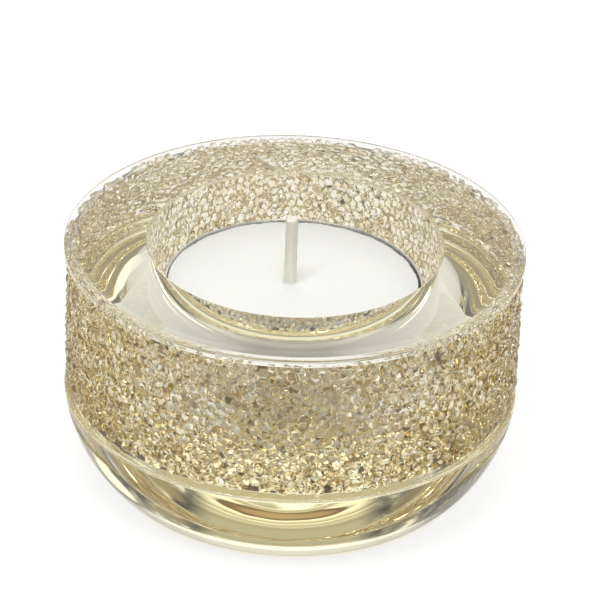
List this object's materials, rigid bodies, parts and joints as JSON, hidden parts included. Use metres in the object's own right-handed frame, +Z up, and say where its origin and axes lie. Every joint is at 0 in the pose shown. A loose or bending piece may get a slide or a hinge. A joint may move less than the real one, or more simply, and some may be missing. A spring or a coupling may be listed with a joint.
{
  "type": "crystal tealight holder",
  "caption": "Round clear crystal tealight holder: a deep well with a rounded lip, a thin rim, a band of small pointed stones and a heavy rounded base, with a tealight that lifts out.",
  "frame": {"origin": "middle of the flat foot, on the surface that the holder stands on", "axes": "+Z up along the axis of the well"},
  "size_m": [0.07, 0.07, 0.0433],
  "materials": {
    "crystal": "polished clear crystal",
    "adhesive": "clear adhesive sheet",
    "carrier": "clear film with a warm tint",
    "stones": "cut and polished champagne crystal",
    "cup": "thin bright pressed sheet",
    "wax": "smooth white wax",
    "wick": "waxed braided cotton",
    "sustainer": "thin tinned plate"
  },
  "bodies": {
    "holder": {"crystal_body": "crystal", "adhesive_film": "adhesive", "carrier_film": "carrier", "crystal_course_01": "stones", "crystal_course_02": "stones", "crystal_course_03": "stones", "crystal_course_04": "stones", "crystal_course_05": "stones", "crystal_course_06": "stones", "crystal_course_07": "stones", "crystal_course_08": "stones", "crystal_course_09": "stones", "crystal_course_10": "stones", "crystal_course_11": "stones", "crystal_course_12": "stones", "crystal_course_13": "stones", "crystal_course_14": "stones"},
    "cup": {"tealight_cup": "cup"},
    "candle": {"candle_wax": "wax", "wick": "wick", "wick_sustainer": "sustainer"}
  },
  "joints": [
    {"name": "tealight_lift", "type": "slide", "parent": "holder", "child": "cup", "axis": [0, 0, 1], "range_m": [0, 0.03]},
    {"name": "candle_lift", "type": "slide", "parent": "cup", "child": "candle", "axis": [0, 0, 1], "range_m": [0, 0.02]}
  ]
}
